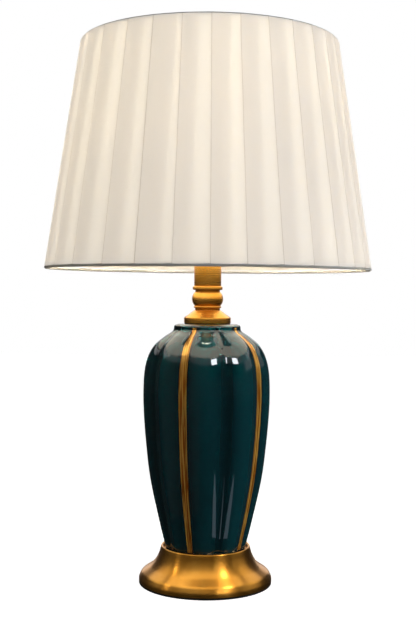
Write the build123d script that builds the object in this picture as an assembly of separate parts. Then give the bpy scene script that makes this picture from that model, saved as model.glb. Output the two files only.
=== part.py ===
# Ceramic table lamp: a lobed ceramic body on a spun brass base, a turned brass neck,
# a lamp holder with a push-bar switch, and a pleated shade on a wire carrier.
# Millimetres. Z is up, the front is towards -Y, and the origin is on the table under the axis.

from build123d import *
import os
from math import cos, radians, sin

# Clearances
rod_clearance = 0.2
turning_clearance = 0.4
running_clearance = 0.08
seat_clearance = 0.25

# Foot pad
pad_thickness = 2.0
pad_inset = 1.6
pad_hole_radius = 20.0

# Spun brass base, a little wider than the ceramic belly, heights above the pad
base_overhang = 1.75
base_wall = 1.8
band_height = 4.3
shoulder_inset = 3.5
shoulder_height = 10.7
knee_share = 0.456
knee_height = 16.5
flare_share = 0.18
flare_height = 24.5
base_height = 36.6
rim_thickness = 2.6
cup_depth = 3.2
cup_gap = 1.6
cup_floor_thickness = 2.2

# Cast ballast inside the base
ballast_gap = 5.6
ballast_height = 10.0
ballast_hub_radius = 24.0
nut_pocket_radius = 12.5
nut_pocket_height = 9.0

# Cord outlet at the back of the base
bush_bore_radius = 3.0
bush_wall = 1.0
bush_collar_radius = 4.9
bush_collar_thickness = 1.8
bush_height = 5.0
bush_inner_length = 4.0
channel_clearance = 0.8

# Hollow threaded rod, nut and washer
rod_radius = 5.0
rod_bore_radius = 3.5
rod_tail = 1.4
rod_entry = 5.5
nut_across_flats = 17.0
nut_thickness = 4.5
washer_radius = 11.0
washer_thickness = 1.6

# Seat gasket under the ceramic body
gasket_height = 4.5
gasket_width = 13.0
gasket_inset = 1.4

# Lobed ceramic body: crest radii as shares of the belly's, heights up from the foot, drops down from the lip
vase_height = 237.8
vase_belly_radius = 69.45
vase_belly_drop = 75.0
vase_foot_share = 0.63
vase_heel_share = 0.646
vase_heel_height = 4.2
vase_lower_share = 0.741
vase_lower_height = 30.5
vase_waist_share = 0.898
vase_waist_height = 82.0
vase_crown_share = 0.957
vase_crown_drop = 40.3
vase_shoulder_share = 0.838
vase_shoulder_drop = 23.2
vase_slope_share = 0.671
vase_slope_drop = 13.4
vase_neck_share = 0.537
vase_neck_drop = 6.8
vase_lip_share = 0.52
vase_lip_drop = 1.8
vase_brim_share = 0.461
vase_wall = 5.0
vase_floor = 7.0
vase_floor_hole_radius = 7.0
vase_mouth_radius = 20.0
lobe_count = 10
lobe_turn = -19.5
groove_depth = 4.6
vase_sections = 17

# Brass cap on the ceramic body
cap_washer_thickness = 0.8
cap_washer_inset = 0.8
cap_radius = 25.4
cap_band_height = 6.7
cap_ledge_radius = 22.0
cap_ledge_height = 8.3
cap_cone_radius = 20.8
cap_cone_height = 9.2
cap_top_radius = 14.4
cap_height = 14.0
cap_edge_round = 0.9
cap_spigot_depth = 4.0
cap_spigot_wall = 2.0

# Turned neck: ring, ball, collar and tube
ring_neck_radius = 13.6
ring_neck_height = 2.2
ring_bead_radius = 15.0
ring_bead_height = 2.4
ball_radius = 16.9
ball_end_radius = 14.0
ball_height = 15.0
groove_radius = 13.4
groove_height = 2.1
collar_radius = 16.2
collar_height = 4.2
collar_edge_round = 1.1
collar_spigot_height = 4.0
tube_radius = 14.7
tube_wall = 1.4
tube_length = 45.8

# Lamp holder
holder_radius = 19.5
holder_wall = 1.3
holder_cap_height = 25.0
holder_heel_inset = 3.0
holder_heel_height = 4.0
holder_floor = 3.0
switch_block_height = 20.0
switch_pocket_radius = 12.4
switch_pocket_height = 6.0
terminal_offset = 8.8
terminal_head_radius = 2.2
terminal_head_height = 1.8
terminal_shank_radius = 1.3
terminal_cover = 0.6
flange_radius = 23.0
flange_thickness = 2.0
skirt_radius = 19.9
skirt_wall = 1.3
skirt_length = 30.0
core_floor = 8.0
core_height = 32.0
core_wall = 2.8
shell_wall = 0.8
shell_length = 22.0
contact_radius = 5.0
contact_thickness = 0.8
contact_button_radius = 3.0
contact_button_height = 1.6

# Push-bar switch, lying along X; the right end stands out while the lamp is on
bar_radius = 2.6
bar_height = 16.0
bar_reach = 9.0
bar_travel = 6.0
bar_end_round = 1.2

# Bulb with an E27 cap
tip_radius = 4.5
tip_height = 1.8
insulator_radius = 11.4
insulator_height = 3.0
bulb_cap_radius = 13.1
bulb_thread_depth = 0.9
bulb_thread_pitch = 3.6
bulb_thread_turns = 5
bulb_cap_wall = 0.7
bulb_collar_height = 2.5
bulb_body_height = 28.0
bulb_body_wall = 1.6
globe_radius = 30.0
globe_seat_radius = 27.0
globe_wall = 1.2
board_thickness = 1.6
board_clearance = 0.15
board_depth = 4.0

# Shade ring, carrier and pleated shade
shade_ring_radius = 25.4
shade_ring_height = 7.0
fitter_radius = 28.6
fitter_thickness = 2.0
spoke_radius = 1.5
spoke_count = 3
spoke_weld = 1.0
fitter_drop = 56.3
shade_bottom_radius = 175.0
shade_top_radius = 138.5
shade_height = 243.5
hem_radius = 2.1
hem_wall = 0.5
hem_clearance = 0.1
pleat_count = 31
pleat_step = 1.8
pleat_turn = 0.5
fabric_thickness = 0.7
liner_gap = 0.25
liner_thickness = 0.8
liner_inset = 1.0

# Heights along the axis, from the table up
pad_top = pad_thickness
rim_top = pad_top + base_height
cup_floor = rim_top - cup_depth
vase_bottom = cup_floor + gasket_height
vase_top = vase_bottom + vase_height
cap_bottom = vase_top + cap_washer_thickness
cap_top = cap_bottom + cap_height
ball_bottom = cap_top + ring_neck_height + ring_bead_height
ball_top = ball_bottom + ball_height
collar_top = ball_top + groove_height + collar_height
tube_top = collar_top + tube_length
block_bottom = tube_top + holder_floor
core_bottom = block_bottom + switch_block_height
flange_bottom = tube_top + holder_cap_height
seat_top = flange_bottom + flange_thickness
core_floor_top = core_bottom + core_floor
contact_top = core_floor_top + contact_thickness + contact_button_height
fitter_top = seat_top + fitter_thickness
fitter_middle = seat_top + fitter_thickness / 2
shade_bottom = seat_top - fitter_drop
shade_top = shade_bottom + shade_height
bar_axis = tube_top + bar_height
pocket_top = block_bottom + switch_pocket_height

# Radii shared by pieces that fit one another
bore_radius = rod_radius + rod_clearance
vase_foot_radius = vase_foot_share * vase_belly_radius
cup_radius = vase_foot_radius + cup_gap
rim_radius = cup_radius + rim_thickness
base_radius = vase_belly_radius + base_overhang
base_spread = base_radius - rim_radius
knee_radius = rim_radius + knee_share * base_spread
flare_radius = rim_radius + flare_share * base_spread
ballast_radius = knee_radius - ballast_gap
bush_radius = bush_bore_radius + bush_wall
tube_bore_radius = tube_radius - tube_wall
holder_bore_radius = holder_radius - holder_wall
core_radius = min(holder_bore_radius, skirt_radius - skirt_wall) - seat_clearance
core_bore_radius = core_radius - core_wall
shell_radius = core_bore_radius - seat_clearance
wire_radius = hem_radius - hem_wall - hem_clearance
gasket_radius = vase_foot_radius - gasket_inset
terminal_shank_length = bar_axis - bar_radius - turning_clearance - terminal_cover - pocket_top


def turned(outline):
    # A solid of revolution from a closed half-outline given as radius and height.
    return revolve(make_face(Plane.XZ * outline), axis=Axis.Z)


def stepped(*points):
    return turned(Polyline(*points, close=True))


def ring(inner, outer, bottom, top):
    return stepped((inner, bottom), (outer, bottom), (outer, top), (inner, top))


def around(radius, degrees, height):
    # A point at an angle counted from the front, towards the right.
    return Vector(radius * sin(radians(degrees)), -radius * cos(radians(degrees)), height)


def foot_pad():
    return ring(pad_hole_radius, base_radius - pad_inset, 0, pad_top)


def base_outline(inset):
    # The ogee from the band up to the rim, moved inwards by a wall.
    return Spline(
        (base_radius - inset, pad_top + band_height - inset / 2),
        (base_radius - shoulder_inset - inset, pad_top + shoulder_height - inset),
        (knee_radius - inset, pad_top + knee_height - inset),
        (flare_radius - inset, pad_top + flare_height - inset / 2),
        (rim_radius - inset, rim_top - inset / 2),
        tangents=((-0.1, 1), (0, 1)),
    )


def bush_hole(radius):
    length = base_radius + bush_collar_thickness
    place = Pos(0, length / 2, pad_top + bush_height) * Rot(-90, 0, 0)
    return place * Cylinder(radius, length)


def base_shell():
    outer = base_outline(0)
    inner = base_outline(base_wall)
    start, end = outer @ 0, outer @ 1
    solid = turned(
        Curve()
        + Line((0, pad_top), (start.X, pad_top))
        + Line((start.X, pad_top), (start.X, start.Y))
        + outer
        + ThreePointArc(
            (end.X, end.Y),
            (end.X - rim_thickness / 2, end.Y + rim_thickness / 3),
            (cup_radius, rim_top),
        )
        + Line((cup_radius, rim_top), (cup_radius, cup_floor))
        + Line((cup_radius, cup_floor), (0, cup_floor))
        + Line((0, cup_floor), (0, pad_top))
    )
    under_floor = cup_floor - cup_floor_thickness
    first, last = inner @ 0, inner @ 1
    hollow = turned(
        Curve()
        + Line((0, pad_top), (first.X, pad_top))
        + Line((first.X, pad_top), (first.X, first.Y))
        + inner
        + Line((last.X, last.Y), (0, last.Y))
        + Line((0, last.Y), (0, pad_top))
    )
    floor_cut = Pos(0, 0, under_floor) * Cylinder(
        base_radius, base_height, align=(Align.CENTER, Align.CENTER, Align.MIN)
    )
    rod_hole = Cylinder(bore_radius, 4 * base_height)
    outlet = bush_hole(bush_radius + seat_clearance)
    return solid - (hollow - floor_cut) - rod_hole - outlet


def base_ballast():
    hub_top = cup_floor - cup_floor_thickness
    body = stepped(
        (bore_radius, pad_top),
        (ballast_radius, pad_top),
        (ballast_radius, pad_top + ballast_height),
        (ballast_hub_radius, pad_top + ballast_height),
        (ballast_hub_radius, hub_top),
        (bore_radius, hub_top),
    )
    pocket = Pos(0, 0, pad_top) * Cylinder(
        nut_pocket_radius, nut_pocket_height, align=(Align.CENTER, Align.CENTER, Align.MIN)
    )
    channel_radius = bush_bore_radius + channel_clearance
    channel_top = pad_top + bush_height + channel_radius
    channel = Pos(0, 0, pad_top) * Box(
        2 * channel_radius,
        base_radius,
        channel_top - pad_top,
        align=(Align.CENTER, Align.MIN, Align.MIN),
    )
    return body - pocket - channel


def cord_bush():
    outer_end = base_radius + bush_collar_thickness
    inner_end = base_radius - bush_inner_length
    sleeve = Polyline(
        (bush_bore_radius, inner_end),
        (bush_radius, inner_end),
        (bush_radius, base_radius),
        (bush_collar_radius, base_radius),
        (bush_collar_radius, outer_end),
        (bush_bore_radius, outer_end),
        close=True,
    )
    return Pos(0, 0, pad_top + bush_height) * Rot(-90, 0, 0) * turned(sleeve)


washer_bottom = pad_top + nut_pocket_height - washer_thickness
nut_bottom = washer_bottom - nut_thickness


def rod_washer():
    return ring(bore_radius, washer_radius, washer_bottom, washer_bottom + washer_thickness)


def rod_nut():
    hexagon = RegularPolygon(nut_across_flats / 2, 6, major_radius=False) - Circle(bore_radius)
    return Pos(0, 0, nut_bottom) * extrude(hexagon, nut_thickness)


def threaded_rod():
    return ring(rod_bore_radius, rod_radius, nut_bottom - rod_tail, tube_top + rod_entry)


def seat_gasket():
    return ring(gasket_radius - gasket_width, gasket_radius, cup_floor, vase_bottom)


def vase_outline():
    # Crest radius against height above the foot, from the foot edge up to the brim.
    belly = vase_belly_radius
    return Spline(
        (vase_foot_share * belly, 0),
        (vase_heel_share * belly, vase_heel_height),
        (vase_lower_share * belly, vase_lower_height),
        (vase_waist_share * belly, vase_waist_height),
        (belly, vase_height - vase_belly_drop),
        (vase_crown_share * belly, vase_height - vase_crown_drop),
        (vase_shoulder_share * belly, vase_height - vase_shoulder_drop),
        (vase_slope_share * belly, vase_height - vase_slope_drop),
        (vase_neck_share * belly, vase_height - vase_neck_drop),
        (vase_lip_share * belly, vase_height - vase_lip_drop),
        (vase_brim_share * belly, vase_height),
    )


def groove_radius_at(crest):
    # The creases are deepest at the belly and fade towards the foot and the lip.
    return crest - groove_depth * (crest / vase_belly_radius) ** 2


def lobed_section(crest, height):
    pitch = 360 / lobe_count
    arcs = []
    for index in range(lobe_count):
        start = lobe_turn + index * pitch
        arcs.append(
            ThreePointArc(
                around(groove_radius_at(crest), start, height),
                around(crest, start + pitch / 2, height),
                around(groove_radius_at(crest), start + pitch, height),
            )
        )
    return make_face(Wire(arcs))


def ceramic_body():
    outline = vase_outline()
    stations = [outline @ (index / (vase_sections - 1)) for index in range(vase_sections)]
    body = loft([lobed_section(point.X, vase_bottom + point.Y) for point in stations])
    ceiling = vase_height - vase_neck_drop
    walls = [
        (groove_radius_at(point.X) - vase_wall, vase_bottom + point.Y)
        for point in stations
        if vase_floor < point.Y < ceiling
    ]
    first, last = walls[0], walls[-1]
    floor_top = vase_bottom + vase_floor
    cavity = turned(
        Curve()
        + Line((0, floor_top), (first[0], floor_top))
        + Line((first[0], floor_top), first)
        + Spline(*walls)
        + Line(last, (0, last[1]))
        + Line((0, last[1]), (0, floor_top))
    )
    mouth = ring(0, vase_mouth_radius, floor_top, vase_top + cap_height)
    floor_hole = ring(0, vase_floor_hole_radius, cup_floor, floor_top + vase_floor)
    return body - cavity - mouth - floor_hole


def cap_washer():
    return ring(vase_mouth_radius, cap_radius - cap_washer_inset, vase_top, cap_bottom)


def vase_cap():
    spigot_radius = vase_mouth_radius - seat_clearance
    cap = stepped(
        (bore_radius, cap_bottom),
        (cap_radius, cap_bottom),
        (cap_radius, cap_bottom + cap_band_height),
        (cap_ledge_radius, cap_bottom + cap_ledge_height),
        (cap_cone_radius, cap_bottom + cap_cone_height),
        (cap_top_radius, cap_top),
        (bore_radius, cap_top),
    )
    band_edges = [
        edge
        for edge in cap.edges().filter_by(GeomType.CIRCLE)
        if abs(edge.radius - cap_radius) < rod_clearance
    ]
    spigot = ring(spigot_radius - cap_spigot_wall, spigot_radius, cap_bottom - cap_spigot_depth, cap_bottom)
    return fillet(band_edges, cap_edge_round) + spigot


def neck_ring():
    bead_bottom = cap_top + ring_neck_height
    bead_middle = bead_bottom + ring_bead_height / 2
    bead_inner = ring_bead_radius - ring_bead_height / 2
    return turned(
        Polyline((bead_inner, ball_bottom), (bore_radius, ball_bottom), (bore_radius, cap_top))
        + Polyline((bore_radius, cap_top), (ring_neck_radius, cap_top), (ring_neck_radius, bead_bottom))
        + Line((ring_neck_radius, bead_bottom), (bead_inner, bead_bottom))
        + ThreePointArc(
            (bead_inner, bead_bottom), (ring_bead_radius, bead_middle), (bead_inner, ball_bottom)
        )
    )


def neck_ball():
    return turned(
        Polyline(
            (ball_end_radius, ball_top),
            (bore_radius, ball_top),
            (bore_radius, ball_bottom),
            (ball_end_radius, ball_bottom),
        )
        + ThreePointArc(
            (ball_end_radius, ball_bottom),
            (ball_radius, ball_bottom + ball_height / 2),
            (ball_end_radius, ball_top),
        )
    )


def neck_collar():
    ring_bottom = ball_top + groove_height
    spigot_radius = tube_bore_radius - seat_clearance
    collar = stepped(
        (bore_radius, ball_top),
        (groove_radius, ball_top),
        (groove_radius, ring_bottom),
        (collar_radius, ring_bottom),
        (collar_radius, collar_top),
        (spigot_radius, collar_top),
        (spigot_radius, collar_top + collar_spigot_height),
        (bore_radius, collar_top + collar_spigot_height),
    )
    rim_edges = [
        edge
        for edge in collar.edges().filter_by(GeomType.CIRCLE)
        if abs(edge.radius - collar_radius) < rod_clearance
    ]
    return fillet(rim_edges, collar_edge_round)


def neck_tube():
    return ring(tube_bore_radius, tube_radius, collar_top, tube_top)


def bar_hole(radius):
    return Pos(0, 0, bar_axis) * Rot(0, 90, 0) * Cylinder(radius, 4 * holder_radius)


def holder_cap():
    cup = stepped(
        (bore_radius, tube_top),
        (holder_radius - holder_heel_inset, tube_top),
        (holder_radius, tube_top + holder_heel_height),
        (holder_radius, flange_bottom),
        (holder_bore_radius, flange_bottom),
        (holder_bore_radius, block_bottom),
        (bore_radius, block_bottom),
    )
    return cup - bar_hole(bar_radius + running_clearance)


def terminal_places():
    return [(-terminal_offset, 0), (terminal_offset, 0)]


def switch_block():
    block = stepped(
        (switch_pocket_radius, block_bottom),
        (core_radius, block_bottom),
        (core_radius, core_bottom),
        (0, core_bottom),
        (0, pocket_top),
        (switch_pocket_radius, pocket_top),
    )
    for x, y in terminal_places():
        screw_hole = Cylinder(
            terminal_shank_radius + rod_clearance,
            terminal_shank_length,
            align=(Align.CENTER, Align.CENTER, Align.MIN),
        )
        block -= Pos(x, y, pocket_top) * screw_hole
    return block - bar_hole(bar_radius + turning_clearance)


def terminal_screws():
    screw = stepped(
        (0, -terminal_head_height),
        (terminal_head_radius, -terminal_head_height),
        (terminal_head_radius, 0),
        (terminal_shank_radius, 0),
        (terminal_shank_radius, terminal_shank_length),
        (0, terminal_shank_length),
    )
    return Compound([Pos(x, y, pocket_top) * screw for x, y in terminal_places()])


def push_bar():
    # The lamp is on: the right end stands out by the reach, the left end by the reach less the travel.
    left = -(holder_radius + bar_reach - bar_travel)
    right = holder_radius + bar_reach
    bar = Cylinder(bar_radius, right - left, align=(Align.CENTER, Align.CENTER, Align.MIN))
    bar = fillet(bar.edges().filter_by(GeomType.CIRCLE), bar_end_round)
    return Pos(left, 0, bar_axis) * Rot(0, 90, 0) * bar


def holder_skirt():
    inner = skirt_radius - skirt_wall
    return stepped(
        (inner, flange_bottom),
        (flange_radius, flange_bottom),
        (flange_radius, seat_top),
        (skirt_radius, seat_top),
        (skirt_radius, seat_top + skirt_length),
        (inner, seat_top + skirt_length),
    )


def holder_core():
    return stepped(
        (0, core_bottom),
        (core_radius, core_bottom),
        (core_radius, core_bottom + core_height),
        (core_bore_radius, core_bottom + core_height),
        (core_bore_radius, core_floor_top),
        (0, core_floor_top),
    )


def screw_shell():
    return ring(shell_radius - shell_wall, shell_radius, core_floor_top, core_floor_top + shell_length)


def centre_contact():
    plate_top = core_floor_top + contact_thickness
    return stepped(
        (0, core_floor_top),
        (contact_radius, core_floor_top),
        (contact_radius, plate_top),
        (contact_button_radius, plate_top),
        (contact_button_radius, contact_top),
        (0, contact_top),
    )


# Heights along the bulb, from the contact up
insulator_bottom = contact_top + tip_height
bulb_cap_bottom = insulator_bottom + insulator_height
thread_top = bulb_cap_bottom + bulb_thread_turns * bulb_thread_pitch
body_bottom = thread_top + bulb_collar_height
globe_bottom = body_bottom + bulb_body_height


def bulb_tip():
    return ring(0, tip_radius, contact_top, insulator_bottom)


def bulb_insulator():
    return stepped(
        (0, insulator_bottom),
        (tip_radius, insulator_bottom),
        (insulator_radius, bulb_cap_bottom),
        (0, bulb_cap_bottom),
    )


def bulb_cap():
    # The rolled thread stands as one rounded ridge to each turn.
    root = bulb_cap_radius - bulb_thread_depth
    outline = Curve() + Line((root - bulb_cap_wall, bulb_cap_bottom), (root, bulb_cap_bottom))
    for turn in range(bulb_thread_turns):
        low = bulb_cap_bottom + turn * bulb_thread_pitch
        high = low + bulb_thread_pitch
        outline += ThreePointArc((root, low), (bulb_cap_radius, (low + high) / 2), (root, high))
    outline += Polyline(
        (root, thread_top),
        (root, body_bottom),
        (root - bulb_cap_wall, body_bottom),
        (root - bulb_cap_wall, bulb_cap_bottom),
    )
    return turned(outline)


def bulb_body_radius(height):
    # The straight flare of the housing, from the cap's root up to the globe's seat.
    share = (height - body_bottom) / bulb_body_height
    return bulb_cap_radius + (globe_seat_radius - bulb_cap_radius) * share


def bulb_body():
    board_bottom = globe_bottom - board_depth
    ledge = bulb_body_radius(board_bottom) - bulb_body_wall
    return stepped(
        (bulb_cap_radius - bulb_body_wall, body_bottom),
        (bulb_cap_radius, body_bottom),
        (globe_seat_radius, globe_bottom),
        (globe_seat_radius - bulb_body_wall, globe_bottom),
        (ledge, board_bottom),
        (ledge - 2 * bulb_body_wall, board_bottom),
    )


def led_board():
    board_bottom = globe_bottom - board_depth
    radius = bulb_body_radius(board_bottom) - bulb_body_wall - board_clearance
    return ring(0, radius, board_bottom, board_bottom + board_thickness)


def bulb_globe():
    rise = (globe_radius**2 - globe_seat_radius**2) ** 0.5
    inner_radius = globe_radius - globe_wall
    inner_seat = (inner_radius**2 - rise**2) ** 0.5
    centre = globe_bottom + rise
    return turned(
        Line((inner_seat, globe_bottom), (globe_seat_radius, globe_bottom))
        + ThreePointArc(
            (globe_seat_radius, globe_bottom), (globe_radius, centre), (0, centre + globe_radius)
        )
        + Line((0, centre + globe_radius), (0, centre + inner_radius))
        + ThreePointArc((0, centre + inner_radius), (inner_radius, centre), (inner_seat, globe_bottom))
    )


def shade_ring():
    return ring(skirt_radius + turning_clearance, shade_ring_radius, fitter_top, fitter_top + shade_ring_height)


def fitter_ring():
    return ring(skirt_radius + turning_clearance, fitter_radius, seat_top, fitter_top)


def fitter_spokes():
    # Straight wires from the fitter ring down to the bottom wire, clear of the front.
    end_radius = shade_bottom_radius - hem_radius - hem_clearance
    end_height = shade_bottom + hem_radius
    spokes = []
    for index in range(spoke_count):
        turn = 360 / spoke_count * (index + 0.5)
        start = around(fitter_radius - spoke_weld, turn, fitter_middle)
        end = around(end_radius, turn, end_height)
        path = end - start
        wire = Cylinder(spoke_radius, path.length, align=(Align.CENTER, Align.CENTER, Align.MIN))
        spokes.append(Plane(origin=start, z_dir=path) * wire)
    return Compound(spokes)


def shade_radius(height):
    share = (height - shade_bottom) / shade_height
    return shade_bottom_radius + (shade_top_radius - shade_bottom_radius) * share


def edge_wire(edge_radius, height):
    return Pos(0, 0, height) * Torus(edge_radius - hem_radius, wire_radius)


def edge_hem(edge_radius, height):
    roll = Torus(edge_radius - hem_radius, hem_radius)
    return Pos(0, 0, height) * (roll - Torus(edge_radius - hem_radius, wire_radius + hem_clearance))


pleat_bottom = shade_bottom + 2 * hem_radius
pleat_top = shade_top - 2 * hem_radius
liner_depth = pleat_step + fabric_thickness


def pleat_section(height):
    # Each pleat steps out at its fold and runs back in under the next fold.
    fold = shade_radius(height)
    tuck = fold - pleat_step
    pitch = 360 / pleat_count
    edges = []
    for index in range(pleat_count):
        start = pleat_turn + index * pitch
        tip = around(fold, start, height)
        middle = around((fold + tuck) / 2, start + pitch / 2, height)
        tail = around(tuck, start + pitch, height)
        edges.append(ThreePointArc(tip, middle, tail))
        edges.append(Line(tail, around(fold, start + pitch, height)))
    return make_face(Wire(edges))


def cone_wall(outer_inset, thickness, bottom, top):
    return stepped(
        (shade_radius(bottom) - outer_inset - thickness, bottom),
        (shade_radius(bottom) - outer_inset, bottom),
        (shade_radius(top) - outer_inset, top),
        (shade_radius(top) - outer_inset - thickness, top),
    )


def pleated_fabric():
    folds = loft([pleat_section(pleat_bottom), pleat_section(pleat_top)], ruled=True)
    inside = stepped(
        (0, pleat_bottom),
        (shade_radius(pleat_bottom) - liner_depth, pleat_bottom),
        (shade_radius(pleat_top) - liner_depth, pleat_top),
        (0, pleat_top),
    )
    return folds - inside


def shade_liner():
    return cone_wall(
        liner_depth + liner_gap, liner_thickness, pleat_bottom + liner_inset, pleat_top - liner_inset
    )


pieces = {
    "foot_pad": foot_pad(),
    "base_shell": base_shell(),
    "base_ballast": base_ballast(),
    "cord_bush": cord_bush(),
    "rod_washer": rod_washer(),
    "rod_nut": rod_nut(),
    "threaded_rod": threaded_rod(),
    "seat_gasket": seat_gasket(),
    "ceramic_body": ceramic_body(),
    "cap_washer": cap_washer(),
    "vase_cap": vase_cap(),
    "neck_ring": neck_ring(),
    "neck_ball": neck_ball(),
    "neck_collar": neck_collar(),
    "neck_tube": neck_tube(),
    "holder_cap": holder_cap(),
    "switch_block": switch_block(),
    "terminal_screws": terminal_screws(),
    "push_bar": push_bar(),
    "holder_skirt": holder_skirt(),
    "holder_core": holder_core(),
    "screw_shell": screw_shell(),
    "centre_contact": centre_contact(),
    "bulb_tip": bulb_tip(),
    "bulb_insulator": bulb_insulator(),
    "bulb_cap": bulb_cap(),
    "bulb_body": bulb_body(),
    "led_board": led_board(),
    "bulb_globe": bulb_globe(),
    "shade_ring": shade_ring(),
    "fitter_ring": fitter_ring(),
    "fitter_spokes": fitter_spokes(),
    "bottom_wire": edge_wire(shade_bottom_radius, shade_bottom + hem_radius),
    "bottom_hem": edge_hem(shade_bottom_radius, shade_bottom + hem_radius),
    "top_wire": edge_wire(shade_top_radius, shade_top - hem_radius),
    "top_hem": edge_hem(shade_top_radius, shade_top - hem_radius),
    "pleated_fabric": pleated_fabric(),
    "shade_liner": shade_liner(),
}

os.makedirs("parts", exist_ok=True)
for name, shape in pieces.items():
    export_step(shape, f"parts/{name}.step")
    print(name, round(shape.volume))
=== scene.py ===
import math
import random

import bmesh
import bpy
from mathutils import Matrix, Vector, noise


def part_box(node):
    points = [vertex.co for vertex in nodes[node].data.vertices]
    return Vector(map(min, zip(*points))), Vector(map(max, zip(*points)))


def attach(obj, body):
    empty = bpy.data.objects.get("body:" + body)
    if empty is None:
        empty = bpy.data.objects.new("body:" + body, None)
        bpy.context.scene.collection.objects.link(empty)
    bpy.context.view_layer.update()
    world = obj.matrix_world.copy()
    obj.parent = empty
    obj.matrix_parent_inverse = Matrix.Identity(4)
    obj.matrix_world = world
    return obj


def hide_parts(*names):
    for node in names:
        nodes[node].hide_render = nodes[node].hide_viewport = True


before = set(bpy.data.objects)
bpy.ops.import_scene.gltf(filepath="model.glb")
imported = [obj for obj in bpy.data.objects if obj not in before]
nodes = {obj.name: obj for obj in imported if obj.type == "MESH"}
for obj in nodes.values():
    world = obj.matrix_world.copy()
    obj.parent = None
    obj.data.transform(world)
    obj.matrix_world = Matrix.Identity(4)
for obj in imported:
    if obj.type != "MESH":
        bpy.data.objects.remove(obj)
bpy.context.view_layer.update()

mm = 0.001
scene = bpy.context.scene


def linear(hexText):
    # sRGB hex to linear RGBA
    parts = [int(hexText[i:i + 2], 16) / 255 for i in (1, 3, 5)]
    return tuple(c / 12.92 if c <= 0.04045 else ((c + 0.055) / 1.055) ** 2.4 for c in parts) + (1.0,)


# node helpers


def addNode(tree, kind, sockets=None, **settings):
    node = tree.nodes.new(kind)
    for key, value in settings.items():
        setattr(node, key, value)
    for key, value in (sockets or {}).items():
        if isinstance(value, bpy.types.NodeSocket):
            tree.links.new(value, node.inputs[key])
        else:
            node.inputs[key].default_value = value
    return node


def mathIn(tree):
    # A short call for the maths nodes of one tree
    def work(operation, *values):
        return addNode(tree, "ShaderNodeMath", dict(enumerate(values)), operation=operation).outputs[0]
    return work


def axisDistance(tree, coords):
    # Distance from the upright axis
    level = addNode(tree, "ShaderNodeVectorMath", {0: coords, 1: (1, 1, 0)}, operation="MULTIPLY").outputs[0]
    return addNode(tree, "ShaderNodeVectorMath", {0: level}, operation="LENGTH").outputs["Value"]


def startMaterial(name):
    material = bpy.data.materials.new(name)
    material.use_nodes = True
    tree = material.node_tree
    tree.nodes.clear()
    return material, tree


def endMaterial(tree, shader):
    addNode(tree, "ShaderNodeOutputMaterial", {"Surface": shader})


def endPrincipled(tree, sockets):
    endMaterial(tree, addNode(tree, "ShaderNodeBsdfPrincipled", sockets).outputs[0])


def objectPlace(tree):
    return addNode(tree, "ShaderNodeTexCoord").outputs["Object"]


def flatPlace(tree):
    return addNode(tree, "ShaderNodeUVMap", uv_map="UVMap").outputs[0]


def noiseOn(tree, coords, sizeMm, detail=2.0, **settings):
    # Noise whose features have the given size
    sockets = {"Vector": coords, "Scale": 1 / (sizeMm * mm), "Detail": detail}
    return addNode(tree, "ShaderNodeTexNoise", sockets, **settings).outputs["Fac"]


def streaksOn(tree, coords, acrossMm, alongMm, detail):
    # Noise on the flat pattern, drawn out along the height
    perMetre = (1 / (acrossMm * mm), 1 / (alongMm * mm), 0)
    drawn = addNode(tree, "ShaderNodeVectorMath", {0: coords, 1: perMetre}, operation="MULTIPLY").outputs[0]
    return addNode(tree, "ShaderNodeTexNoise", {"Vector": drawn, "Scale": 1.0, "Detail": detail},
                   noise_dimensions="2D").outputs["Fac"]


def mixColours(tree, share, first, second):
    # Blends two colours, each a hex text or a socket
    ends = [linear(colour) if isinstance(colour, str) else colour for colour in (first, second)]
    return addNode(tree, "ShaderNodeMix", {0: share, 6: ends[0], 7: ends[1]}, data_type="RGBA").outputs[2]


def remap(tree, value, fromRange, toRange=(0.0, 1.0)):
    return addNode(tree, "ShaderNodeMapRange", {
        "Value": value, "From Min": fromRange[0], "From Max": fromRange[1],
        "To Min": toRange[0], "To Max": toRange[1]}).outputs["Result"]


def bumpOf(tree, height, strength, depthMm):
    return addNode(tree, "ShaderNodeBump", {
        "Height": height, "Strength": strength, "Distance": depthMm * mm}).outputs[0]


def endThinSheet(tree, share, matt, through):
    # Scatters part of the light back and lets the given share pass
    back = addNode(tree, "ShaderNodeBsdfDiffuse", matt).outputs[0]
    passed = addNode(tree, "ShaderNodeBsdfTranslucent", through).outputs[0]
    endMaterial(tree, addNode(tree, "ShaderNodeMixShader", {0: share, 1: back, 2: passed}).outputs[0])


# materials


def makeBrass(name, look):
    # Spun and turned brass under clear lacquer: fine lathe lines run round the axis
    # and draw highlights out up and down
    material, tree = startMaterial(name)
    coords = objectPlace(tree)
    height = addNode(tree, "ShaderNodeSeparateXYZ", {"Vector": coords}).outputs["Z"]
    lathe = addNode(tree, "ShaderNodeCombineXYZ", {"X": axisDistance(tree, coords), "Y": height}).outputs[0]
    lines = noiseOn(tree, lathe, look["lineMm"], noise_dimensions="2D")
    cloud = noiseOn(tree, coords, look["cloudMm"], detail=3.0)
    colour = mixColours(tree, remap(tree, cloud, (0.35, 0.7)), look["colour"], look["tarnish"])
    smoothest, roughest = look["rough"] - look["roughSwing"], look["rough"] + look["roughSwing"]
    rough = remap(tree, lines, (0.3, 0.7), (smoothest, roughest))
    tangent = addNode(tree, "ShaderNodeTangent", direction_type="RADIAL", axis="Z").outputs[0]
    endPrincipled(tree, {
        "Base Color": colour, "Metallic": 1.0, "Roughness": rough,
        "Normal": bumpOf(tree, lines, look["bump"], look["bumpMm"]),
        "Anisotropic": look["stretch"], "Anisotropic Rotation": 0.25, "Tangent": tangent})
    return material


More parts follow.
